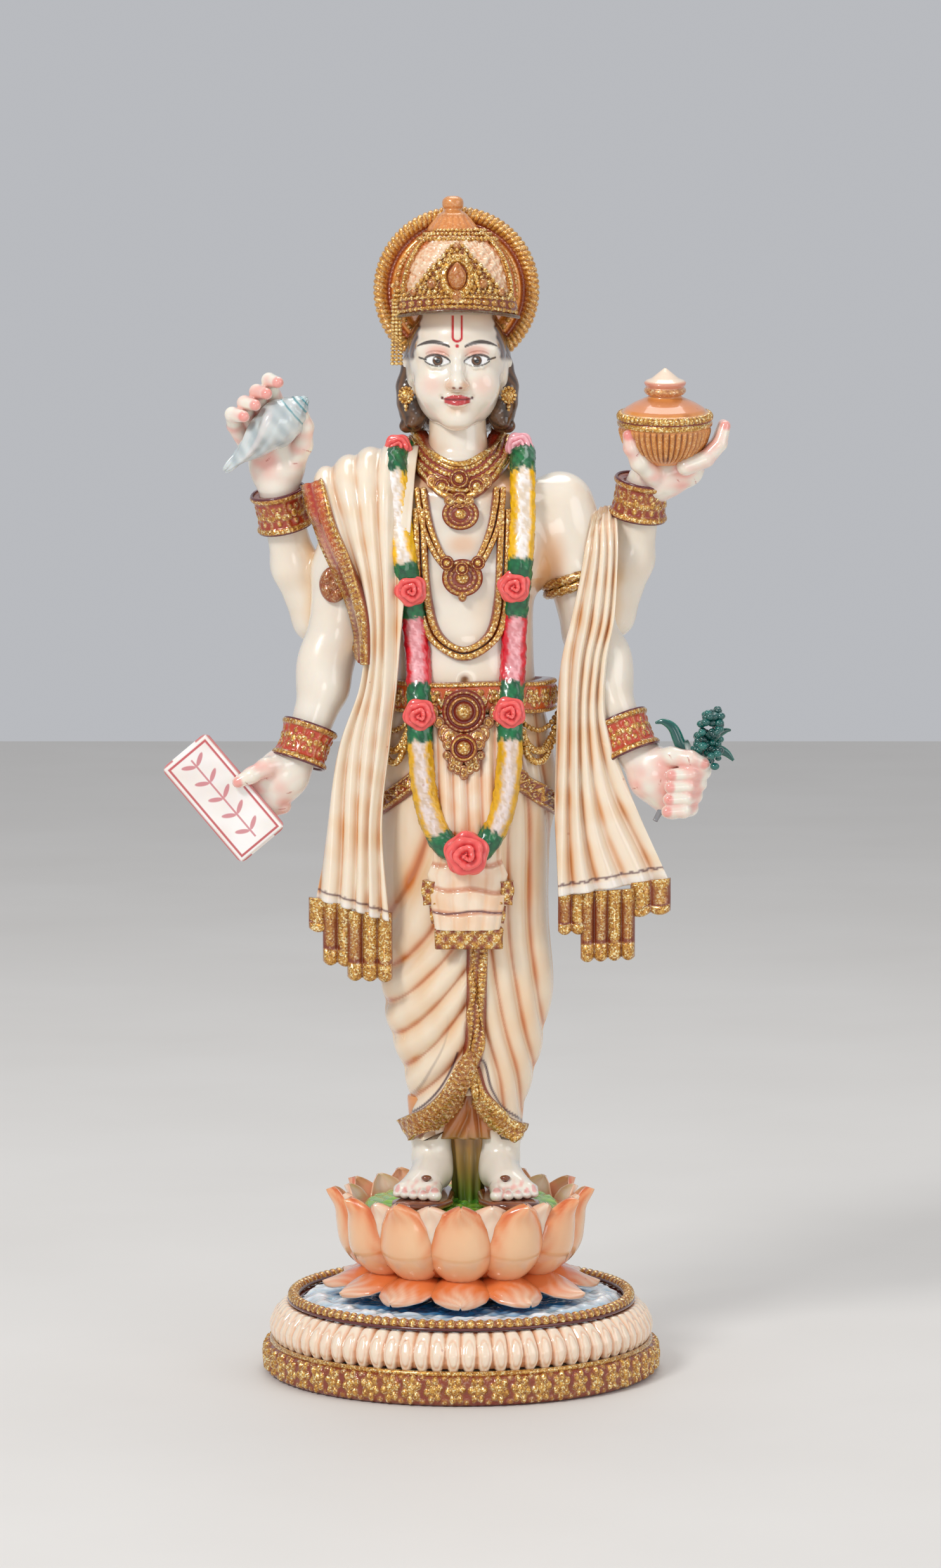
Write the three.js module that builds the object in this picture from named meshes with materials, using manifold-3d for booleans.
// A painted cast-resin statuette of a four-armed standing deity on a lotus and a round plinth.
// Millimetres, +Z up, the figure faces -Y, and the origin is the centre of the plinth's flat underside.
// "right" and "left" are the figure's own, so a right-hand piece has a negative X.
import * as THREE from "three";
import { mergeVertices } from "three/addons/utils/BufferGeometryUtils.js";
import Module from "manifold-3d";

const wasm = await Module();
wasm.setup();

// ---- Driving sizes ----
const GAP = 0.3; // between pieces that touch
const WALL = 1.3; // thickness of the ornaments and cloth laid on the figure

// Stand
const PLINTH_RADIUS = 37.5;
const PLINTH_HEIGHT = 14.6;
const BAND_HEIGHT = 6.6; // rosette band round the foot of the plinth
const BAND_RADIUS = 43;
const GADROON_RADIUS = 41;
const GADROONS = 34;
const BEAD_RING_RADIUS = 36.2;
const BEAD_RING_SECTION = 1.1;
const WATER_HEIGHT = 2.2;
const WATER_RADIUS = 34.4;
const PETALS = 10;
const LOTUS_HEIGHT = 19; // underside of the cup to the seed pod's top
const LOTUS_BULGE = 25.6;
const LOTUS_FOOT_RADIUS = 17.5;
const PETAL_RISE = 3; // how far the petal tips stand above the seed pod
const POD_RADIUS = 21;
const POD_HEIGHT = 4;
const DOWEL_RADIUS = 4;
const DOWEL_LENGTH = 16;

// Legs
const LEG_HEIGHT = 106; // underside of the sandals to the waist
const HEM_HEIGHT = 13.3; // underside of the sandals to the hem of the dhoti
const HIP_HALF_WIDTH = 19.3;
const HIP_HALF_DEPTH = 13;
const BODY_X = 1; // the figure's centre line
const ANKLE_SPREAD = 7.2;
const FOOT_LENGTH = 25;
const SANDAL_THICKNESS = 2;
const LEG_PIN_RADIUS = 1.1;
const LEG_PIN_DEPTH = 9; // into the seed pod below and past the hem above
const PIN_CLEARANCE = 0.25;

// Torso and head
const TORSO_HEIGHT = 44; // waist to the shoulder line
const SHOULDER_X = 21.5;
const NECK_RADIUS = 6.5;
const NECK_LENGTH = 18; // shoulder line to the top of the neck, inside the head
const CHIN_ABOVE_SHOULDER = 15.4;
const HEAD_HEIGHT = 29;
const HEAD_HALF_WIDTH = 10.3;
const HEAD_X = -0.8;

// Crown
const DOME_RADIUS = 13.4;
const DOME_HEIGHT = 15;
const HALO_RADIUS = 17.6;
const HALO_DEPTH = 5;
const KNOB_RADIUS = 2.3;

// Arms and what they hold
const UPPER_ARM_RADIUS = 6.8;
const WRIST_RADIUS = 4;
const BRACELET_HEIGHT = 7.2;
const CONCH_LENGTH = 23;
const CONCH_RADIUS = 4.6;
const POT_RADIUS = 10;
const POT_HEIGHT = 20.5;
const PLAQUE_WIDTH = 12.4;
const PLAQUE_LENGTH = 26.3;
const PLAQUE_THICKNESS = 3;

// Dress
const BELT_HEIGHT = 7;
const BELT_DROP = 0.6; // waist line to the belt's lower edge
const PLEAT_HALF_WIDTH = 6.8;
const PLEAT_LENGTH = 49.2;
const HEM_BAND = 4.6; // gold hem below the pleats
const BORDER_WIDTH = 4.2;
const ROSE_RADIUS = 3.3;
const GARLAND_RADIUS = 2.6;

// ---- Heights worked out from them ----
const WATER_Z = PLINTH_HEIGHT + GAP;
const LOTUS_Z = WATER_Z + WATER_HEIGHT + GAP;
const SOLE_Z = LOTUS_Z + LOTUS_HEIGHT + GAP; // the figure's group stands here
const WAIST = LEG_HEIGHT; // from here down, heights are above the soles
const SHOULDER = WAIST + TORSO_HEIGHT;
const CHIN = SHOULDER + CHIN_ABOVE_SHOULDER;
const BROW = CHIN + HEAD_HEIGHT * 0.86; // the crown's lower edge over the forehead
const HALO_Z = BROW + 4.5;

// ---- Materials ----
const paint = (color, roughness, metalness) =>
  new THREE.MeshStandardMaterial({ color, roughness, metalness });
const SKIN = paint(0xf2e8dc, 0.25, 0);
const CLOTH = paint(0xefd0ae, 0.3, 0);
const GOLD = paint(0xb07a2a, 0.35, 0.8);
const PETAL = paint(0xf0b088, 0.35, 0);
const HAIR = paint(0x4a3524, 0.4, 0);
const ROSE = paint(0xe8484a, 0.35, 0);
const YELLOW = paint(0xf0b820, 0.4, 0);
const WATER = paint(0xbcd8e6, 0.3, 0);
const GREEN = paint(0x9cc840, 0.4, 0);
const HERB = paint(0x0f7468, 0.4, 0);
const SANDAL = paint(0x5a2416, 0.3, 0);
const SHELL = paint(0xd4dcd8, 0.25, 0);
const STEEL = paint(0x9a9a9a, 0.35, 1);

// ---- Shape tools ----
const V = (x, y, z) => new THREE.Vector3(x, y, z);

/** A closed three.js geometry as a solid that can be joined and cut. */
function solid(geometry) {
  const g = geometry.clone();
  g.deleteAttribute("normal");
  g.deleteAttribute("uv");
  const merged = mergeVertices(g, 1e-4);
  return new wasm.Manifold(
    new wasm.Mesh({
      numProp: 3,
      vertProperties: merged.attributes.position.array,
      triVerts: new Uint32Array(merged.index.array),
    }),
  );
}

/** A solid back as a three.js geometry. */
function geometryOf(body) {
  const mesh = body.getMesh();
  const g = new THREE.BufferGeometry();
  g.setAttribute("position", new THREE.BufferAttribute(mesh.vertProperties, 3));
  g.setIndex(new THREE.BufferAttribute(mesh.triVerts, 1));
  const flat = g.toNonIndexed();
  flat.computeVertexNormals();
  return flat;
}

/** A solid carried by a turn in degrees about X, Y and Z, and then a shift. */
function placed(body, [turnX, turnY, turnZ], [x, y, z] = [0, 0, 0]) {
  const rad = THREE.MathUtils.degToRad;
  const way = new THREE.Matrix4().makeRotationFromEuler(new THREE.Euler(rad(turnX), rad(turnY), rad(turnZ)));
  return solid(geometryOf(body).applyMatrix4(way.setPosition(x, y, z)));
}

/** A closed skin over rings of equal point counts, the first and last closed by fans. */
function skin(rings) {
  const count = rings[0].length;
  const points = rings.flat();
  const faces = [];
  for (let r = 0; r < rings.length - 1; r++) {
    for (let i = 0; i < count; i++) {
      const j = (i + 1) % count;
      const a = r * count + i;
      const b = r * count + j;
      faces.push(a, b, b + count, a, b + count, a + count);
    }
  }
  for (const [first, flip] of [[0, true], [(rings.length - 1) * count, false]]) {
    const centre = points.length;
    const middle = V(0, 0, 0);
    for (let i = 0; i < count; i++) middle.add(points[first + i]);
    points.push(middle.divideScalar(count));
    for (let i = 0; i < count; i++) {
      const j = (i + 1) % count;
      faces.push(...(flip ? [centre, first + j, first + i] : [centre, first + i, first + j]));
    }
  }
  const g = new THREE.BufferGeometry().setFromPoints(points);
  g.setIndex(faces);
  return solid(g);
}

/** One level of a standing form: z, half width, half depth, and its centre. */
function ring(z, halfX, halfY, cx = 0, cy = 0, sides = 16) {
  return Array.from({ length: sides }, (_, i) => {
    const a = (2 * Math.PI * i) / sides;
    return V(cx + halfX * Math.cos(a), cy + halfY * Math.sin(a), z);
  });
}

/** A form standing on levels [z, halfX, halfY, cx, cy], swollen all round by grow. */
function column(levels, grow = 0, sides = 16) {
  const last = levels.length - 1;
  return skin(
    levels.map(([z, hx, hy, cx, cy], i) => {
      const end = i === 0 ? -grow : i === last ? grow : 0;
      return ring(z + end, hx + grow, hy + grow, cx, cy, sides);
    }),
  );
}

/** A limb through points [x, y, z, radius, flatness], swollen by grow. */
function limb(points, grow = 0, sides = 10, up = V(0, 1, 0), steps = 2) {
  const curve = new THREE.CatmullRomCurve3(points.map(([x, y, z]) => V(x, y, z)));
  const count = (points.length - 1) * steps;
  const rings = [];
  for (let i = 0; i <= count; i++) {
    const t = i / count;
    const at = curve.getPoint(t);
    const along = curve.getTangent(t);
    const side = V(0, 0, 0).crossVectors(along, up).normalize();
    const out = V(0, 0, 0).crossVectors(along, side).normalize();
    const k = Math.min(points.length - 2, Math.floor(t * (points.length - 1)));
    const f = t * (points.length - 1) - k;
    const mix = (n, d) => (points[k][n] ?? d) * (1 - f) + (points[k + 1][n] ?? d) * f;
    const taper = i === 0 || i === count ? 0.72 : 1;
    const wide = mix(3) * taper + grow;
    const flat = mix(3) * mix(4, 1) * taper + grow;
    const shift = i === 0 ? -grow : i === count ? grow : 0;
    rings.push(
      Array.from({ length: sides }, (_, j) => {
        const a = (2 * Math.PI * j) / sides;
        return at
          .clone()
          .addScaledVector(side, wide * Math.cos(a))
          .addScaledVector(out, flat * Math.sin(a))
          .addScaledVector(along, shift);
      }),
    );
  }
  return skin(rings);
}

/** An ellipsoid at a centre. */
function ellipsoid(cx, cy, cz, rx, ry, rz, across = 12, down = 8) {
  const g = new THREE.SphereGeometry(1, across, down);
  g.rotateX(Math.PI / 2);
  g.scale(rx, ry, rz);
  g.translate(cx, cy, cz);
  return solid(g);
}

/** A turned form: profile points [radius, z] from the axis to the axis, or closed on itself. */
function turned(profile, sides = 40) {
  const g = new THREE.LatheGeometry(profile.map(([r, z]) => new THREE.Vector2(r, z)), sides);
  g.rotateX(Math.PI / 2);
  return solid(g);
}

/** A rod along Z. */
function rod(radius, length, cx, cy, fromZ, sides = 12) {
  const g = new THREE.CylinderGeometry(radius, radius, length, sides);
  g.rotateX(Math.PI / 2);
  g.translate(cx, cy, fromZ + length / 2);
  return solid(g);
}

/** A front-view outline of [x, z] points, cut right through from y = near to y = far. */
function prism(outline, near, far) {
  const shape = new THREE.Shape(outline.map(([x, z]) => new THREE.Vector2(x, z)));
  const g = new THREE.ExtrudeGeometry(shape, { depth: far - near, bevelEnabled: false });
  g.rotateX(Math.PI / 2);
  g.translate(0, far, 0);
  return solid(g);
}

/** The outline of a ribbon of even width along [x, z] points. */
function ribbon(line, width, steps = 10) {
  const curve = new THREE.SplineCurve(line.map(([x, z]) => new THREE.Vector2(x, z)));
  const one = [];
  const other = [];
  for (let i = 0; i <= steps; i++) {
    const p = curve.getPoint(i / steps);
    const t = curve.getTangent(i / steps);
    one.push([p.x - (t.y * width) / 2, p.y + (t.x * width) / 2]);
    other.unshift([p.x + (t.y * width) / 2, p.y - (t.x * width) / 2]);
  }
  return [...one, ...other];
}

/** The biggest body of a cut solid, without the crumbs that a cut leaves. */
function largest(body) {
  return body.decompose().sort((a, b) => b.volume() - a.volume())[0];
}

/** A layer over a form: from clear to clear + thick above its surface, inside a region. */
function layer(form, region, clear, thick) {
  return form(clear + thick).intersect(region).subtract(form(clear));
}

const parts = { stand: new THREE.Group(), figure: new THREE.Group() };
function add(group, name, body, material) {
  const mesh = new THREE.Mesh(geometryOf(body), material);
  mesh.name = name;
  parts[group].add(mesh);
}

// ---- Stand ----
/** A ring of section [radius, z, share of the fluting] points whose outside is scalloped by lobes. */
function fluted(profile, lobes, depth) {
  return skin(
    profile.map(([radius, z, share]) =>
      Array.from({ length: lobes * 2 }, (_, i) => {
        const a = (Math.PI * (i + 0.5)) / lobes;
        const r = radius - (i % 2) * depth * share;
        return V(r * Math.cos(a), r * Math.sin(a), z);
      }),
    ),
  );
}

/** One lotus petal: a cupped blade along levels [distance from the axis, height, half width, thickness]. */
function petal(angle, levels, across = 2) {
  const rings = levels.map(([r, z, half, thick], k) => {
    const before = levels[Math.max(0, k - 1)];
    const after = levels[Math.min(levels.length - 1, k + 1)];
    const way = new THREE.Vector2(after[0] - before[0], after[1] - before[1]).normalize();
    const points = [];
    for (const face of [1, -1]) {
      for (let i = 0; i <= across; i++) {
        const u = (face * (2 * i - across)) / across;
        const bow = Math.sqrt(Math.max(0, r * r - (u * half) ** 2)) - r;
        const off = (face * thick * (1 - 0.6 * u * u)) / 2;
        points.push(V(r + bow + off * way.y, u * half, z - off * way.x));
      }
    }
    return points.map((p) => p.applyAxisAngle(V(0, 0, 1), angle));
  });
  return skin(rings);
}

const petalAngle = (i) => -Math.PI / 2 + (2 * Math.PI * i) / PETALS;

function makePlinth(socket) {
  const inner = PLINTH_RADIUS;
  const narrow = PLINTH_RADIUS - 2.5; // the plinth draws in above the rosette band
  const core = (g) => turned([[0, -g], [inner + g, -g], [inner + g, BAND_HEIGHT], [narrow + g, PLINTH_HEIGHT + g],
    [0, PLINTH_HEIGHT + g]]);
  add("stand", "base_plinth", core(0).subtract(socket), CLOTH);

  const bed = inner + GAP;
  add("stand", "rosette_band", turned([[bed, 0], [BAND_RADIUS - 1.2, 0], [BAND_RADIUS, BAND_HEIGHT * 0.35],
    [BAND_RADIUS - 0.6, BAND_HEIGHT * 0.75], [BAND_RADIUS - 1.9, BAND_HEIGHT], [bed, BAND_HEIGHT], [bed, 0]], 40), GOLD);

  const foot = BAND_HEIGHT + GAP;
  const rise = PLINTH_HEIGHT - foot;
  const outside = fluted([[GADROON_RADIUS - 1.4, foot, 0], [GADROON_RADIUS, foot + rise * 0.3, 1],
    [GADROON_RADIUS - 1.4, foot + rise * 0.68, 1], [BEAD_RING_RADIUS + 1, PLINTH_HEIGHT, 0]], GADROONS, 0.9);
  add("stand", "gadroon_band", outside.subtract(core(GAP)), CLOTH);

  const b = BEAD_RING_SECTION;
  const ringFoot = PLINTH_HEIGHT + GAP;
  add("stand", "bead_ring", turned([[BEAD_RING_RADIUS - b, ringFoot], [BEAD_RING_RADIUS + b, ringFoot],
    [BEAD_RING_RADIUS + b * 1.2, ringFoot + b], [BEAD_RING_RADIUS, ringFoot + 2 * b],
    [BEAD_RING_RADIUS - b * 1.2, ringFoot + b], [BEAD_RING_RADIUS - b, ringFoot]], 40), GOLD);

  const shore = BEAD_RING_RADIUS - 1.2 * b - GAP; // the water stops inside the bead ring
  const waves = 12;
  const level = (z, inset) => Array.from({ length: waves * 4 }, (_, i) => {
    const a = (Math.PI * i) / (waves * 2);
    const r = shore - inset - 0.35 + 0.35 * Math.sin(waves * a);
    return V(r * Math.cos(a), r * Math.sin(a), z);
  });
  const water = skin([level(WATER_Z, 0.3), level(WATER_Z + WATER_HEIGHT * 0.6, 0), level(WATER_Z + WATER_HEIGHT, 1.6)]);
  add("stand", "water_disc", water.subtract(socket), WATER);
}

// The cup is a hub with two rows of upright petals, above a flaring skirt of lower petals.
function makeLotus(socket) {
  const skirtTop = LOTUS_Z + 4.6;
  const cupFoot = skirtTop + GAP;
  const top = LOTUS_Z + LOTUS_HEIGHT + PETAL_RISE;
  const upright = [[LOTUS_FOOT_RADIUS - 1, cupFoot - 1, 3.4, 3], [LOTUS_BULGE - 0.8, skirtTop + 7, 8, 2.8],
    [LOTUS_BULGE, top - 5, 7, 2], [LOTUS_BULGE + 2, top, 0.8, 0.8]];
  const behind = upright.map(([r, z, half, thick]) => [r - 2.2, z - 0.3, half * 0.95, thick]);
  let cup = turned([[0, cupFoot], [LOTUS_FOOT_RADIUS, cupFoot], [LOTUS_BULGE - 2.4, skirtTop + 6],
    [LOTUS_BULGE - 2, top - 7], [0, top - 7]], 16);
  for (let i = 0; i < PETALS; i++) {
    cup = cup.add(petal(petalAngle(i), upright)).add(petal(petalAngle(i + 0.5), behind));
  }
  const podZ = LOTUS_Z + LOTUS_HEIGHT - POD_HEIGHT;
  const bores = legPins(PIN_CLEARANCE, SOLE_Z);
  cup = cup.subtract(rod(POD_RADIUS + GAP, POD_HEIGHT + PETAL_RISE + 3, 0, 0, podZ - GAP, 30))
    .subtract(rod(60, 30, 0, 0, cupFoot - 30, 8)).subtract(socket).subtract(bores);
  add("stand", "lotus_cup", largest(cup), PETAL);
  add("stand", "seed_pod", rod(POD_RADIUS, POD_HEIGHT, 0, 0, podZ, 30).subtract(bores), GREEN);

  const flare = [[9, LOTUS_Z + 2.4, 3.5, 3.8], [LOTUS_FOOT_RADIUS + 1, LOTUS_Z + 3, 5.8, 2.6],
    [25.4, LOTUS_Z + 1.7, 6.2, 1.6], [LOTUS_BULGE + 5, LOTUS_Z + 1, 0.7, 0.8]];
  let skirt = turned([[0, LOTUS_Z], [LOTUS_FOOT_RADIUS + 1, LOTUS_Z], [LOTUS_FOOT_RADIUS, LOTUS_Z + 3.8],
    [LOTUS_FOOT_RADIUS - 2, skirtTop], [0, skirtTop]], 20);
  for (let i = 0; i < PETALS; i++) skirt = skirt.add(petal(petalAngle(i), flare));
  skirt = skirt.subtract(rod(60, 30, 0, 0, LOTUS_Z - 30, 8)).subtract(rod(60, 30, 0, 0, skirtTop, 8));
  add("stand", "lotus_skirt", largest(skirt.subtract(socket)), PETAL);
}

function makeStand() {
  const from = LOTUS_Z - DOWEL_LENGTH / 2;
  const socket = rod(DOWEL_RADIUS + PIN_CLEARANCE, DOWEL_LENGTH + 2 * GAP, 0, 0, from - GAP, 16);
  add("stand", "stand_dowel", rod(DOWEL_RADIUS, DOWEL_LENGTH, 0, 0, from, 16), STEEL);
  makePlinth(socket);
  makeLotus(socket);
}

// ---- Figure forms, which other pieces rest on or are cut by ----
const sides = [
  ["right", -1],
  ["left", 1],
];
const ankle = (side) => BODY_X + side * ANKLE_SPREAD;

/** The steel pin that holds one foot to the seed pod. */
function legPin(side, clear = 0) {
  const length = 2 * LEG_PIN_DEPTH + HEM_HEIGHT;
  return rod(LEG_PIN_RADIUS + clear, length + 2 * clear, ankle(side), 1, -LEG_PIN_DEPTH - clear, 10);
}
const legPins = (clear, z = 0) => placed(legPin(-1, clear).add(legPin(1, clear)), [0, 0, 0], [0, 0, z]);

/** The draped legs, from the hem to the waist. */
function dhoti(grow = 0) {
  const shape = [[0, 0.63, 0.66, 0.6], [0.08, 0.62, 0.66, 0.5], [0.15, 0.71, 0.72, 0.8],
    [0.26, 0.86, 0.82, 0.3], [0.37, 0.94, 0.92, 0.4], [0.52, 0.92, 0.96, 0], [0.7, 0.94, 1, 0],
    [0.84, 1, 1, 0.2], [0.91, 0.98, 0.96, 0], [1, 0.86, 0.86, 0]];
  const rise = WAIST - HEM_HEIGHT;
  return column(shape.map(([h, w, d, x]) =>
    [HEM_HEIGHT + h * rise, w * HIP_HALF_WIDTH, d * HIP_HALF_DEPTH, BODY_X + x, 0.5]), grow);
}

/** The bare trunk and neck, from the waist up into the head. */
function torso(grow = 0) {
  const trunk = [[0, 15.6, 10.8], [0.16, 14.8, 10.2], [0.32, 14.6, 10.4], [0.5, 14.8, 11.2],
    [0.68, 16.2, 11.8], [0.85, 18.2, 11.4], [0.98, 19.6, 10], [1.08, 15.5, 8.6], [1.16, 9.5, 7.6]];
  const levels = trunk.map(([h, hx, hy]) => [WAIST + GAP + h * TORSO_HEIGHT, hx, hy, BODY_X - 0.6 * h, 0]);
  levels.push([SHOULDER + 11, NECK_RADIUS, NECK_RADIUS, HEAD_X + 0.3, 0.3]);
  levels.push([SHOULDER + NECK_LENGTH, NECK_RADIUS - 0.4, NECK_RADIUS - 0.4, HEAD_X, 0.8]);
  return column(levels, grow);
}

const body = (grow = 0) => dhoti(grow).add(torso(grow));

/** The head with its ears and nose. */
function head(grow = 0) {
  const face = [[0, 0.34, 0.3, -5.6], [0.08, 0.54, 0.52, -4], [0.24, 0.82, 0.8, -1.6], [0.45, 0.98, 1.02, 0],
    [0.62, 1, 1.16, 0.5], [0.82, 0.86, 1.02, 0.8], [0.95, 0.56, 0.66, 1], [1, 0.2, 0.24, 1]];
  const skull = column(face.map(([h, w, d, y]) =>
    [CHIN + h * HEAD_HEIGHT, w * HEAD_HALF_WIDTH, d * HEAD_HALF_WIDTH, HEAD_X, y]), grow);
  const nose = ellipsoid(HEAD_X, -10.2, CHIN + HEAD_HEIGHT * 0.36, 1.5 + grow, 2 + grow, 3.2 + grow, 8, 6);
  const ear = (side) => ellipsoid(HEAD_X + side * (HEAD_HALF_WIDTH + 0.2), 0.6, CHIN + HEAD_HEIGHT * 0.4,
    1.1 + grow, 2 + grow, 3.4 + grow, 8, 6);
  return skull.add(nose).add(ear(1)).add(ear(-1));
}

/** The cloth dome of the crown. */
function dome(grow = 0) {
  const r = DOME_RADIUS + grow;
  const whole = ellipsoid(HEAD_X, 1.2, BROW + 3.2, r, r, DOME_HEIGHT + grow, 20, 12);
  return whole.subtract(rod(40, 40, HEAD_X, 0, BROW - 40 - grow, 8));
}

/** The round halo behind the crown: a rolled rim, a groove and an inner bead band. */
function halo(grow = 0) {
  const r = HALO_RADIUS;
  const half = HALO_DEPTH / 2 + grow;
  const plate = turned([[0, -half + 1], [r - 6.4, -half + 1], [r - 5, -half + 0.4], [r - 3 - grow, -half + 1],
    [r - 1.4, -half], [r + grow, -half + 1.4], [r + grow, half - 1.4], [r - 1.4, half], [0, half - 0.8]], 28);
  return placed(plate, [90, 0, 0], [HEAD_X - 0.2, 5.4, HALO_Z]);
}

// Joints of each arm, from the shoulder to the elbow and on to the wrist: [x, y, z, radius].
const UPPER = UPPER_ARM_RADIUS;
const WRIST = WRIST_RADIUS;
const ARMS = {
  front_right: {
    upper: [[-SHOULDER_X, 1, SHOULDER - 1.5, UPPER + 0.6], [-24.8, 1.4, SHOULDER - 15, UPPER], [-26.8, 0.6, SHOULDER - 29, 5.8]],
    fore: [[-26.8, 0.6, SHOULDER - 28, 5.7], [-29.2, -1.8, SHOULDER - 39.4, 5], [-33.3, -4.2, SHOULDER - 51.4, WRIST],
      [-35.6, -5, SHOULDER - 55, WRIST - 0.4]],
  },
  front_left: {
    upper: [[SHOULDER_X - 0.5, 1, SHOULDER - 0.8, UPPER + 0.6], [25, 1.4, SHOULDER - 14, UPPER], [27.4, 0.6, SHOULDER - 28.6, 5.6]],
    fore: [[27.4, 0.6, SHOULDER - 27.6, 5.5], [30.8, -1.8, SHOULDER - 39, 4.9], [35.2, -4.4, SHOULDER - 49.6, WRIST],
      [37.6, -5.4, SHOULDER - 54, WRIST - 0.4]],
  },
  rear_right: {
    upper: [[-18, 7.5, SHOULDER - 8, 5.4], [-24.5, 9.5, SHOULDER - 18, 5.3], [-31, 9.4, SHOULDER - 25.4, 5]],
    fore: [[-31, 9.4, SHOULDER - 25.4, 5], [-35.6, 7, SHOULDER - 14, 4.8], [-38.3, 3.8, SHOULDER - 1.7, WRIST],
      [-39, 2.4, SHOULDER + 2.6, WRIST - 0.4]],
  },
  rear_left: {
    upper: [[18, 7.5, SHOULDER - 8, 5.4], [25.5, 9.5, SHOULDER - 17, 5.3], [32, 9.4, SHOULDER - 24.4, 5]],
    fore: [[32, 9.4, SHOULDER - 24.4, 5], [36.2, 7, SHOULDER - 12.4, 5], [38.3, 3.8, SHOULDER + 0.6, WRIST + 0.3],
      [39.4, 2.4, SHOULDER + 4, WRIST - 0.2]],
  },
};
const ball = ([x, y, z, r], grow) => ellipsoid(x, y, z, r + grow, r + grow, r + grow, 8, 6);
function arm(name, grow = 0) {
  const { upper, fore } = ARMS[name];
  const piece = (joints) => limb(joints, grow, 8, V(0, 1, 0), 1).add(ball(joints[0], grow));
  return piece(upper).add(piece(fore));
}

/** A hand: a palm and five fingers, each a short limb. */
function hand(palm, fingers, grow = 0) {
  return fingers.reduce((made, finger) => made.add(limb(finger, grow, 4, V(0, 1, 0), 1)), limb(palm, grow, 8, V(0, 1, 0), 1));
}

/** The cuff round a wrist, before the wrist is cut from it. */
function cuff(name, grow = 0) {
  const { fore } = ARMS[name];
  const [x1, y1, z1, r] = fore[fore.length - 2];
  const [x0, y0, z0] = fore[fore.length - 3];
  const way = V(x1 - x0, y1 - y0, z1 - z0).normalize().multiplyScalar(BRACELET_HEIGHT / 2);
  return limb([[x1 - way.x, y1 - way.y, z1 - way.z, (r + 1.9) / 0.72], [x1, y1, z1, r + 1.2],
    [x1 + way.x, y1 + way.y, z1 + way.z, (r + 1.6) / 0.72]], grow, 8, V(0, 1, 0), 1);
}

// ---- What the hands hold ----
const CONCH_AT = [-40.8, -3.6, SHOULDER + 14.8];
const CONCH_LEAN = 49; // degrees from the vertical
function conch(grow = 0) {
  const L = CONCH_LENGTH;
  const R = CONCH_RADIUS;
  const g = grow;
  const shell = turned([[0, -L * 0.52 - g], [R * 0.22 + g, -L * 0.5], [R * 0.34 + g, -L * 0.34], [R * 0.75 + g, -L * 0.12],
    [R + g, L * 0.12], [R * 0.94 + g, L * 0.26], [R * 0.66 + g, L * 0.36], [R * 0.32 + g, L * 0.46], [0, L * 0.48 + g]], 12);
  return placed(shell, [0, CONCH_LEAN, 0], CONCH_AT);
}

const POT_AT = [43.2, -0.6, SHOULDER + 8.2];
function pot(grow = 0) {
  const R = POT_RADIUS;
  const H = POT_HEIGHT;
  const g = grow;
  const shape = turned([[0, -g], [R * 0.4 + g, -g], [R * 0.78 + g, H * 0.13], [R * 0.96 + g, H * 0.33], [R + g, H * 0.43],
    [R * 0.93 + g, H * 0.53], [R * 0.6 + g, H * 0.66], [R * 0.34 + g, H * 0.72], [R * 0.46 + g, H * 0.79],
    [R * 0.46 + g, H * 0.87], [R * 0.16 + g, H * 0.93], [0, H + g]], 20);
  return placed(shape, [8, 0, 0], POT_AT);
}

const PLAQUE_AT = [-50.4, -7.5, SHOULDER - 62.6];
const PLAQUE_LEAN = -40; // degrees its long side leans from the vertical
function plaque(grow = 0) {
  const w = PLAQUE_WIDTH / 2 + grow;
  const l = PLAQUE_LENGTH / 2 + grow;
  const c = 1.2; // corner cut
  const slab = prism([[-w + c, -l], [w - c, -l], [w, -l + c], [w, l - c], [w - c, l], [-w + c, l], [-w, l - c], [-w, -l + c]],
    -PLAQUE_THICKNESS / 2 - grow, PLAQUE_THICKNESS / 2 + grow);
  return placed(slab, [0, PLAQUE_LEAN, 0], PLAQUE_AT);
}

const HERB_AT = [47.6, -8, SHOULDER - 57];
function herbs(grow = 0) {
  const [x, y, z] = HERB_AT;
  const g = grow;
  const stem = limb([[x - 6.2, y + 0.6, z - 10.4, 1.1], [x - 3, y + 0.4, z - 4, 1.2], [x, y, z, 2], [x + 1.6, y, z + 4.4, 2.4]], g, 6, V(0, 1, 0), 1);
  const curl = limb([[x + 0.8, y, z + 1.5, 1.1], [x - 1.2, y, z + 6, 1.1], [x - 3.2, y, z + 9, 0.9], [x - 5.4, y, z + 9.6, 0.5]], g, 4, V(0, 1, 0), 1);
  const droop = limb([[x + 1.6, y, z + 2.6, 1.2], [x + 5.4, y, z + 4.4, 1], [x + 8.4, y, z + 3.4, 0.9], [x + 10.4, y, z + 2, 0.5]], g, 4, V(0, 1, 0), 1);
  const berries = ellipsoid(x + 4, y, z + 8.6, 3.4 + g, 2.6 + g, 4.8 + g, 8, 6);
  const sprig = ellipsoid(x + 2.8, y, z + 11.6, 2.2 + g, 2 + g, 2.8 + g, 8, 6);
  return stem.add(curl).add(droop).add(berries).add(sprig);
}

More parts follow.
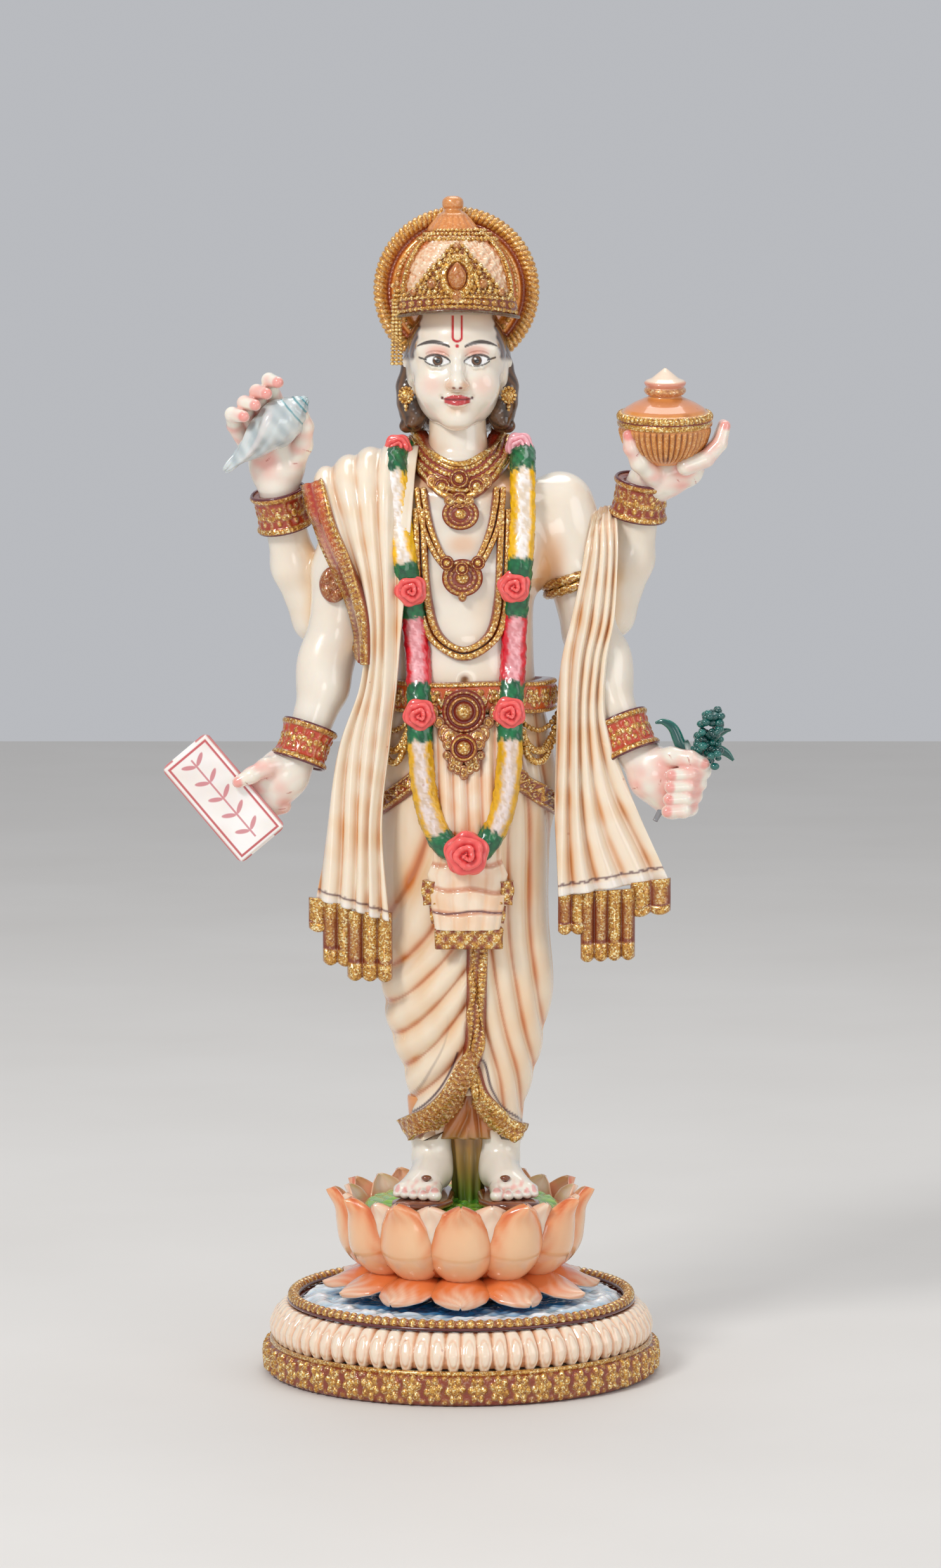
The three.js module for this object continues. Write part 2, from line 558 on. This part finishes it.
const FOUR = [0, 1, 2, 3];
const HANDS = {
  front_right: (grow) => hand(
    [[-34.8, -4.8, SHOULDER - 54, 3.9], [-38, -5, SHOULDER - 57.5, 5.2, 0.55], [-42, -4.4, SHOULDER - 60.5, 4.6, 0.5]],
    [...FOUR.map((i) => [[-42 + i * 1.1, -4.3, SHOULDER - 58 - i * 2.1, 1.6], [-47 + i, -4, SHOULDER - 59.5 - i * 2.1, 1.4],
      [-51 + i, -4.2, SHOULDER - 60.5 - i * 2, 1.2]]),
    [[-38, -6.2, SHOULDER - 55.5, 2], [-42, -8, SHOULDER - 56, 1.7], [-46.4, -10, SHOULDER - 58.2, 1.4]]], grow),
  front_left: (grow) => hand(
    [[37, -5.2, SHOULDER - 53.4, 3.9], [41, -6, SHOULDER - 57.5, 5.4, 0.6], [46, -6, SHOULDER - 60, 5.2, 0.6]],
    [...FOUR.map((i) => [[50 - i * 0.7, -6.4, SHOULDER - 56.4 - i * 2.5, 1.7], [50.5 - i, -10, SHOULDER - 57 - i * 2.5, 1.6],
      [44.8 - i * 0.3, -11.2, SHOULDER - 57.4 - i * 2.5, 1.4]]),
    [[41, -7, SHOULDER - 54.6, 2.1], [46, -9, SHOULDER - 53.8, 1.8], [51, -9.6, SHOULDER - 54.6, 1.4]]], grow),
  rear_right: (grow) => hand(
    [[-38.8, 2.8, SHOULDER + 1.8, 3.8], [-39.6, 2.2, SHOULDER + 6.5, 5.8, 0.55], [-40.2, 2.2, SHOULDER + 12.5, 6.2, 0.5]],
    [...FOUR.map((i) => [[-46 + i * 2.8, 1.8, SHOULDER + 12 + i * 1.6, 1.8], [-48 + i * 3, -1.6, SHOULDER + 16 + i * 2.4, 1.7],
      [-46 + i * 2.6, -6.4, SHOULDER + 17 + i * 2.4, 1.4]]),
    [[-35.6, 1.2, SHOULDER + 8, 2.1], [-33.8, -0.8, SHOULDER + 13.5, 1.8], [-34.4, -3, SHOULDER + 18, 1.4]]], grow),
  rear_left: (grow) => hand(
    [[39.2, 2.6, SHOULDER + 2.6, 4], [42, 1, SHOULDER + 5.6, 5.2, 0.7], [47, 0, SHOULDER + 7.4, 5.2, 0.8]],
    [...FOUR.map((i) => [[48, 4 - i * 2.8, SHOULDER + 8, 1.8], [53, 4 - i * 2.8, SHOULDER + 10.5, 1.6],
      [55.4, 3.8 - i * 2.6, SHOULDER + 15, 1.3]]),
    [[41, -2.6, SHOULDER + 6, 2], [38.4, -5, SHOULDER + 9, 1.7], [36.6, -6, SHOULDER + 12.5, 1.3]]], grow),
};
const HELD = { front_right: plaque, front_left: herbs, rear_right: conch, rear_left: pot };
const wholeArm = (name, grow = 0) => arm(name, grow).add(HANDS[name](grow));

// ---- Legs and feet ----
const below = (z) => rod(80, 60, 0, 0, z - 60, 8);
const above = (z) => rod(80, 200, 0, 0, z, 8);

function toeKnob(side, grow = 0) {
  const x = ankle(side) + side * 1.2;
  const y = -FOOT_LENGTH * 0.44;
  return rod(0.7 + grow, 6.6, x, y, SANDAL_THICKNESS - 0.4, 8)
    .add(ellipsoid(x, y, SANDAL_THICKNESS + 5.6, 1.3 + grow, 1.1 + grow, 0.7 + grow, 8, 6));
}

function sandal(side) {
  const x = ankle(side);
  const out = side * 3.2; // the toes turn out
  const toe = -FOOT_LENGTH * 0.6;
  const sole = limb([[x - side * 0.4, FOOT_LENGTH * 0.36, 1.1, 3.6, 0.6], [x, FOOT_LENGTH * 0.1, 1.1, 4.4, 0.5],
    [x + out * 0.5, toe * 0.6, 1.1, 5.8, 0.4], [x + out, toe, 1.1, 5.4, 0.6]], 0, 12, V(0, 0, 1));
  return sole.subtract(below(0)).subtract(above(SANDAL_THICKNESS)).add(toeKnob(side));
}

function foot(side) {
  const x = ankle(side);
  const out = side * 3;
  const toe = -FOOT_LENGTH * 0.56;
  const sole = SANDAL_THICKNESS + GAP;
  const top = HEM_HEIGHT - GAP;
  const blade = limb([[x, FOOT_LENGTH * 0.3, sole + 2.6, 3.2, 1], [x, 2, sole + 3.6, 4, 1.1],
    [x + out * 0.5, toe * 0.55, sole + 2, 5, 0.6], [x + out, toe, sole + 1.1, 5, 0.4]], 0, 8, V(0, 0, 1));
  const shin = column([[sole + 1, 4, 5.4, x, 1.2], [sole + 5, 3.8, 4.6, x, 1.4], [top + 1, 4.6, 5, x - side * 0.4, 1]], 0, 8);
  let made = blade.add(shin);
  for (let i = 0; i < 5; i++) {
    made = made.add(ellipsoid(x + out - side * (3.7 - i * 1.8), toe - 1.4 + i * 0.55, sole + 1.1,
      i === 0 ? 1.25 : 0.9, 1.9, 1.1, 5, 4));
  }
  return made.subtract(below(sole)).subtract(above(top));
}

function makeLegs() {
  for (const [name, side] of sides) {
    const bore = legPin(side, PIN_CLEARANCE);
    add("figure", `leg_pin_${name}`, legPin(side), STEEL);
    add("figure", `sandal_${name}`, sandal(side).subtract(bore), SANDAL);
    add("figure", `foot_${name}`, largest(foot(side).subtract(bore).subtract(toeKnob(side, GAP))), SKIN);
  }
  add("figure", "dhoti", dhoti().subtract(legPins(PIN_CLEARANCE)), CLOTH);
}

// ---- Dress on the legs ----
const FRONT = -60; // how far in front of the figure the cutting outlines start
const LAYER_2 = 2 * GAP + WALL; // clear of a layer that lies on the body
const LAYER_3 = 3 * GAP + 2 * WALL; // clear of two such layers

function makePleats() {
  const px = BODY_X + 0.4;
  const w = PLEAT_HALF_WIDTH;
  const top = WAIST - BELT_DROP - GAP;
  const foot = top - PLEAT_LENGTH;
  const panel = prism([[px - w, top], [px - w * 0.9, foot + 12], [px - w * 1.16, foot + 8],
    [px - w * 0.9, foot + HEM_BAND + GAP], [px + w * 0.9, foot + HEM_BAND + GAP],
    [px + w * 1.2, foot + 8], [px + w * 0.9, foot + 12], [px + w, top]], FRONT, 0);
  add("figure", "front_pleats", layer(dhoti, panel, LAYER_2, WALL), CLOTH);
  const hem = prism([[px - w * 0.86, foot + HEM_BAND], [px - w * 0.86, foot],
    [px + w * 0.86, foot], [px + w * 0.86, foot + HEM_BAND]], FRONT, 0);
  add("figure", "pleats_hem", layer(dhoti, hem, LAYER_2, WALL), GOLD);

  // The gold edge of the wrap runs down the middle and then round the outside of each ankle.
  const fork = HEM_HEIGHT + 14;
  const rightEdge = ribbon([[px + 2, foot - GAP], [px + 2, fork + 12], [px + 0.4, fork + 2],
    [px - 5, HEM_HEIGHT + 7.4], [BODY_X - 14, HEM_HEIGHT - 1]], BORDER_WIDTH);
  const leftEdge = ribbon([[px + 1.4, fork], [px + 5, HEM_HEIGHT + 8.6], [BODY_X + 9.4, HEM_HEIGHT + 3.6],
    [BODY_X + 14.4, HEM_HEIGHT - 2]], BORDER_WIDTH - 0.8);
  const edge = prism(rightEdge, FRONT, 0).add(prism(leftEdge, FRONT, 0)).subtract(below(HEM_HEIGHT));
  add("figure", "dhoti_border", largest(layer(dhoti, edge, GAP, WALL)), GOLD);
}

const beltSlab = (grow) => rod(60, BELT_HEIGHT + 2 * grow, 0, 0, WAIST - BELT_DROP - grow, 8);
function makeBelt() {
  const b = BODY_X;
  const sash = prism(ribbon([[b - 21, WAIST - 21.5], [b - 12, WAIST - 14], [b, WAIST - 9.5],
    [b + 12, WAIST - 14], [b + 21, WAIST - 21.5]], 3.6), FRONT, 1);
  add("figure", "hip_sash", largest(layer(dhoti, sash, GAP, WALL)), GOLD);
  add("figure", "belt", layer(body, beltSlab(0), LAYER_2, WALL), GOLD);
  const bx = BODY_X - 0.2;
  const bz = WAIST - BELT_DROP;
  const disc = (cz, r, n) => Array.from({ length: n }, (_, i) => {
    const a = (2 * Math.PI * i) / n;
    return [bx + r * Math.cos(a), cz + r * Math.sin(a)];
  });
  const buckle = prism(disc(bz + 0.6, 4.2, 16), FRONT, 0).add(prism(disc(bz - 6.4, 2.6, 12), FRONT, 0))
    .add(prism([[bx - 2, bz - 2], [bx - 4.6, bz - 5], [bx - 3, bz - 10.4], [bx, bz - 13.4], [bx + 3, bz - 10.4],
      [bx + 4.6, bz - 5], [bx + 2, bz - 2]], FRONT, 0));
  add("figure", "belt_buckle", layer(body, buckle, LAYER_3, WALL), GOLD);
}

// ---- Shawl ----
// What the shawl lies on at the right shoulder: the trunk, the arm, and the hollow below the armpit that it spans.
function cloaked(grow = 0) {
  const armpit = limb([[-17.4, -1, SHOULDER - 6, 6.5], [-17.6, -1.4, SHOULDER - 20, 6.6], [-17.8, -2, SHOULDER - 38, 6]], grow, 12);
  return torso(grow).add(arm("front_right", grow)).add(armpit);
}

// Outline of the shawl over the right shoulder, its heights from the shoulder line.
const DRAPE = [[-8.6, 15], [-34, 15], [-34, 2.4], [-27.6, -7.4], [-23, -18], [-20, -34], [-14, -34], [-12, -16], [-10, 0]];

/** A hanging panel: an upright sheet with folds, inside a front-view outline. */
function hanging(outline, nearY, farY, folds, fromX, toX) {
  const count = folds * 4;
  const at = (i) => fromX + ((toX - fromX) * i) / count;
  const topView = [];
  for (let i = 0; i <= count; i++) topView.push([at(i), nearY + (i % 4 < 2 ? 0 : 1.1)]);
  for (let i = count; i >= 0; i--) topView.push([at(i), farY + (i % 4 < 2 ? -0.7 : 0)]);
  const shape = new THREE.Shape(topView.map(([x, y]) => new THREE.Vector2(x, y)));
  return solid(new THREE.ExtrudeGeometry(shape, { depth: SHOULDER + 20, bevelEnabled: false }))
    .intersect(prism(outline, FRONT, 60));
}

function makeRightShawl(cut) {
  const S = SHOULDER;
  const over = prism(DRAPE.map(([x, z]) => [x, S + z]), FRONT, 14);
  const fall = hanging([[-12.8, S - 22], [-19, S - 22], [-20, S - 33], [-22.3, S - 41], [-26.6, S - 53.4],
    [-29, S - 75], [-31, S - 83.8], [-14.8, S - 88.6], [-16.6, S - 70], [-15.8, S - 50], [-13.6, S - 34]],
  -12.6, -7.4, 4, -33, -12);
  const drape = layer(cloaked, over, GAP, WALL + GAP);
  const shawl = [torso(GAP), dhoti(LAYER_2), wholeArm("front_right", GAP), body(LAYER_3).intersect(beltSlab(GAP))]
    .reduce((a, b) => a.subtract(b), drape.add(fall));
  add("figure", "shawl_right", largest(cut(shawl)), CLOTH);
  const hem = hanging([[-31.6, S - 84.2], [-31.8, S - 89.2], [-29, S - 90.3], [-28.8, S - 96.4], [-24, S - 98],
    [-23.2, S - 101.6], [-16.8, S - 101.6], [-14, S - 100.3], [-14, S - 89.4]], -12.6, -7.4, 4, -33, -12);
  add("figure", "shawl_right_hem", largest(hem.subtract(dhoti(LAYER_2))), GOLD);
  const edge = prism(ribbon([[-30.6, S + 1.4], [-25.8, S - 8.6], [-21.4, S - 19], [-19.9, S - 31]], 3.6, 8), FRONT, 4);
  const border = layer(cloaked, edge, 3 * GAP + WALL, WALL).subtract(fall);
  add("figure", "shawl_right_border", largest(cut(border)), GOLD);
}

function makeLeftShawl(cut) {
  const S = SHOULDER;
  const crook = (grow) => arm("front_left", grow);
  const through = prism([[33.5, S - 7], [36, S - 28], [32, S - 36], [20, S - 36], [21, S - 27], [25.6, S - 18],
    [28.4, S - 7]], FRONT, 6);
  const flow = hanging([[24, S - 27], [20.4, S - 38], [19.7, S - 62], [20.5, S - 83.2], [33, S - 83.6],
    [44, S - 80.2], [35.7, S - 63], [30.8, S - 45], [31.4, S - 34], [31, S - 27]], -10.4, -5.4, 5, 18, 46);
  const shawl = [torso(GAP), dhoti(LAYER_2), wholeArm("front_left", GAP), body(LAYER_3).intersect(beltSlab(GAP))]
    .reduce((a, b) => a.subtract(b), layer(crook, through, GAP, WALL + GAP).add(flow));
  add("figure", "shawl_left", largest(cut(shawl)), CLOTH);
  const hem = hanging([[20.6, S - 83.6], [33, S - 84], [44.2, S - 80.6], [44.2, S - 86.4], [37.6, S - 87.6],
    [37, S - 97], [36, S - 97.8], [27.6, S - 97.8], [25.4, S - 92.4], [22.4, S - 91.2], [21, S - 89]],
  -10.4, -5.4, 5, 18, 46);
  add("figure", "shawl_left_hem", largest(hem.subtract(dhoti(LAYER_2))), GOLD);
}

// ---- Garland: one loop of flowers round the neck, and seven roses on it ----
/** How far forward the bare figure stands at a place: y of the front of its body. */
function frontOf(x, z) {
  const rows = z < WAIST
    ? [[HEM_HEIGHT, 12.2, 8.6], [WAIST * 0.45, 18, 12], [WAIST * 0.85, HIP_HALF_WIDTH, HIP_HALF_DEPTH], [WAIST, 16.6, 11.2]]
    : [[WAIST, 16, 11], [WAIST + 14, 14.6, 10.4], [SHOULDER - 14, 16.2, 11.8], [SHOULDER, 19.6, 10],
      [SHOULDER + 6, 13, 8.2], [SHOULDER + 11, NECK_RADIUS, NECK_RADIUS]];
  let k = 0;
  while (k < rows.length - 2 && z > rows[k + 1][0]) k++;
  const f = THREE.MathUtils.clamp((z - rows[k][0]) / (rows[k + 1][0] - rows[k][0]), 0, 1);
  const hx = rows[k][1] * (1 - f) + rows[k + 1][1] * f;
  const hy = rows[k][2] * (1 - f) + rows[k + 1][2] * f;
  return -hy * Math.sqrt(Math.max(0.05, 1 - ((x - BODY_X) / hx) ** 2));
}

const ROSES = [["shoulder_right", -13.4, SHOULDER + 11.4, 0.86], ["shoulder_left", 12.4, SHOULDER + 11.8, 0.86],
  ["chest_right", -10.6, SHOULDER - 18.2, 1], ["chest_left", 11.2, SHOULDER - 17.4, 1],
  ["waist_right", -8.7, WAIST - 0.4, 1], ["waist_left", 10.2, WAIST, 1], ["centre", 1.2, WAIST - 29.4, 1.36]];
const garlandY = (x, z) => frontOf(x, z) - (z < SHOULDER - 30 ? LAYER_3 + WALL : WALL * 1.6) - GARLAND_RADIUS * 0.75;

function rose([, x, z, size], grow = 0) {
  const r = ROSE_RADIUS * size;
  return ellipsoid(x, garlandY(x, z) - (z > SHOULDER ? 3.4 : 2.2), z, r + grow, r * 0.9 + grow, r + grow, 10, 6);
}

function garland(grow = 0) {
  const strand = [[-13.9, 13, SHOULDER + 6], [-13, 13, SHOULDER - 4], [-11.6, 12.4, SHOULDER - 13],
    [-10, 11.4, SHOULDER - 24], [-9, 11, SHOULDER - 34], [-8.7, 10.4, WAIST], [-8.2, 10, WAIST - 10],
    [-7, 8.8, WAIST - 20], [-3.6, 5.4, WAIST - 27.4]];
  const down = (side) => [[side < 0 ? -8.4 : 8, 6.4, SHOULDER + 8.6], [side < 0 ? -13 : 12.6, 0.4, SHOULDER + 11],
    ...strand.map(([right, left, z]) => {
      const x = side < 0 ? right : left;
      return [x, garlandY(x, z) - (z > SHOULDER ? 1.6 : 0), z];
    })];
  const low = WAIST - 29.4;
  const line = [[0, 9.2, SHOULDER + 9], ...down(1), [1, garlandY(1, low), low], ...down(-1).reverse(), [-0.6, 9.2, SHOULDER + 9]];
  return limb(line.map(([x, y, z]) => [x, y, z, GARLAND_RADIUS, 0.8]), grow, 6, V(0, 1, 0.02), 1);
}

// ---- Jewellery on the chest ----
function makeNecklaces(clear) {
  const S = SHOULDER;
  const collar = prism([[-8.4, S + 13.4], [-5.6, S + 9.6], [-0.4, S + 8], [5, S + 9.6], [7.8, S + 13.4], [10, S + 11],
    [8.6, S + 4.4], [4.2, S], [3.8, S - 3], [-0.2, S - 5], [-4.2, S - 3], [-4.4, S], [-8.2, S + 3.6], [-10.6, S + 8]], FRONT, -1);
  add("figure", "choker", clear(layer(torso, collar, GAP, WALL)), GOLD);
  const under = prism([[-20, S + 13.4], [20, S + 13.4], [12, S + 3.2], [4.6, S - 0.3], [4.2, S - 3.2], [-0.2, S - 5.4],
    [-4.6, S - 3.2], [-4.8, S - 0.3], [-12, S + 3.2]], FRONT, 0);
  const pendant = prism([[-4.2, S - 12.4], [4.8, S - 12.4], [4.6, S - 17], [2.4, S - 20], [0.2, S - 21], [-2, S - 20],
    [-4.2, S - 17]], FRONT, -1);
  const short = prism(ribbon([[-6.8, S + 2.6], [-6, S - 6], [-3.6, S - 13.4], [0.2, S - 15.6], [4, S - 13.4], [6.2, S - 6],
    [7, S + 2.6]], 2), FRONT, -1).add(pendant).subtract(under);
  add("figure", "necklace_short", clear(layer(torso, short, GAP, WALL)), GOLD);
  const long = prism(ribbon([[-9.4, S + 1.4], [-8.8, S - 10], [-7.2, S - 22], [-5, S - 29], [0.8, S - 32], [6.6, S - 29],
    [8.2, S - 22], [9.2, S - 10], [9.8, S + 1.4]], 2.2), FRONT, -1).subtract(under);
  add("figure", "necklace_long", clear(layer(torso, long, GAP, WALL)), GOLD);
}

// ---- Head, hair and crown ----
const behindY = (y) => prism([[-40, CHIN - 40], [40, CHIN - 40], [40, CHIN + 60], [-40, CHIN + 60]], FRONT, y);
function makeHead() {
  const x = HEAD_X;
  const cap = dome(GAP);
  const ring = halo(GAP);
  add("figure", "head", largest(head().subtract(torso(GAP))), SKIN);
  add("figure", "crown_dome", largest(dome().subtract(head(GAP))), CLOTH);
  add("figure", "halo", largest(halo().subtract(cap).subtract(head(GAP))), GOLD);

  const lock = (side) => limb([[x + side * 10, 3, CHIN + 10, 3], [x + side * 9.6, 3.4, CHIN + 5, 3.4],
    [x + side * 9.2, 3.6, CHIN + 0.6, 3]], 0, 8, V(0, 1, 0), 1);
  const hair = ellipsoid(x, 3.4, CHIN + 15, 12, 12.4, 13, 10, 8).add(lock(-1)).add(lock(1))
    .add(ellipsoid(x, 8, CHIN + 6.4, 9.6, 5, 8, 8, 6)).subtract(behindY(0.2));
  add("figure", "hair", largest([head(GAP), torso(GAP), cap, ring].reduce((a, b) => a.subtract(b), hair)), HAIR);

  const front = prism([[x - 13.6, BROW - 0.6], [x - 9, BROW + 0.6], [x, BROW + 1], [x + 9, BROW + 0.6],
    [x + 13.6, BROW - 0.6], [x + 12.6, BROW + 3], [x + 7.6, BROW + 4.4], [x + 5.6, BROW + 8.6], [x + 2.4, BROW + 11.6],
    [x, BROW + 14.4], [x - 2.4, BROW + 11.6], [x - 5.6, BROW + 8.6], [x - 7.6, BROW + 4.4], [x - 12.6, BROW + 3]], FRONT, -1);
  const gem = ellipsoid(x, -13.6, BROW + 7, 1.8, 1.6, 2.5, 8, 6);
  const tassel = limb([[x - 12.6, -3.4, BROW + 3.4, 1.6], [x - 12.9, -4.4, BROW - 4, 1.1], [x - 12.9, -4.6, BROW - 12, 1.3]], 0, 8);
  const plate = layer(dome, front, GAP, WALL).add(gem).add(tassel);
  add("figure", "crown_plate", largest(plate.subtract(cap).subtract(head(GAP)).subtract(ring)), GOLD);

  const knob = placed(turned([[0, 0], [4.2, 0], [3.6, 1.6], [1.8, 3.4], [KNOB_RADIUS, 4.6], [KNOB_RADIUS, 5.6], [0, 6.6]], 12),
    [0, 0, 0], [x - 0.9, 1.2, HALO_Z + HALO_RADIUS - 4.3]);
  add("figure", "finial", largest(knob.subtract(cap).subtract(ring)), GOLD);
  for (const [name, side] of sides) {
    const stud = ellipsoid(x + side * (HEAD_HALF_WIDTH + 0.6), -1.2, CHIN + HEAD_HEIGHT * 0.2, 1.3, 1.3, 1.7, 8, 6);
    add("figure", `earring_${name}`, largest(stud.subtract(head(GAP))), GOLD);
  }
}

// ---- Build the figure ----
function makeFigure() {
  makeLegs();
  makePleats();
  makeBelt();

  const arms = Object.keys(ARMS);
  add("figure", "torso", largest(arms.reduce((a, name) => a.subtract(arm(name, GAP)), torso())), SKIN);
  for (const name of arms) {
    let made = wholeArm(name).subtract(HELD[name](GAP));
    if (name.startsWith("rear")) made = made.subtract(arm(name.replace("rear", "front"), GAP));
    add("figure", `${name}_arm`, largest(made), SKIN);
    add("figure", `${name}_bracelet`, largest(cuff(name).subtract(wholeArm(name, GAP))), GOLD);
    add("figure", { rear_right: "conch", rear_left: "nectar_pot", front_right: "plaque", front_left: "herbs" }[name],
      HELD[name](), { rear_right: SHELL, rear_left: GOLD, front_right: SKIN, front_left: HERB }[name]);
  }

  const [ax, ay, az] = ARMS.front_left.upper[1];
  const slab = placed(rod(12, 2.6, 0, 0, -1.3, 12), [0, -20, 0], [ax, ay, az - 2.5]);
  const armband = layer((grow) => arm("front_left", grow), slab, GAP, WALL).subtract(torso(GAP))
    .subtract(arm("rear_left", GAP));
  add("figure", "armband", largest(armband), GOLD);

  const blooms = ROSES.map((r) => rose(r, GAP));
  const flowers = blooms.reduce((a, b) => a.add(b), garland(GAP));
  const guards = [arm("rear_right", GAP), arm("rear_left", GAP), cuff("front_right", GAP), cuff("front_left", GAP),
    flowers, placed(rod(12, 3.2 + 2 * GAP, 0, 0, -1.6 - GAP, 12), [0, -20, 0], [ax, ay, az - 2.5])];
  const cut = (piece) => guards.reduce((a, b) => a.subtract(b), piece);
  makeRightShawl(cut);
  makeLeftShawl(cut);

  const rested = [torso(GAP), arm("front_left", GAP), body(LAYER_3 + GAP + WALL).intersect(beltSlab(0)), dhoti(LAYER_2 + WALL)];
  add("figure", "garland", largest(rested.reduce((a, b) => a.subtract(b), garland())), YELLOW);
  const bed = torso(GAP).add(garland(GAP));
  for (const bloom of ROSES) add("figure", `rose_${bloom[0]}`, largest(rose(bloom).subtract(bed)), ROSE);

  const drape = prism(DRAPE.map(([x, z]) => [x + GAP + 0.1, SHOULDER + z]), FRONT, 14);
  makeNecklaces((piece) => largest(piece.subtract(flowers).subtract(drape)));
  makeHead();
}

makeStand();
makeFigure();
parts.figure.position.z = SOLE_Z;

const statue = new THREE.Group();
statue.add(parts.stand, parts.figure);

export default statue;
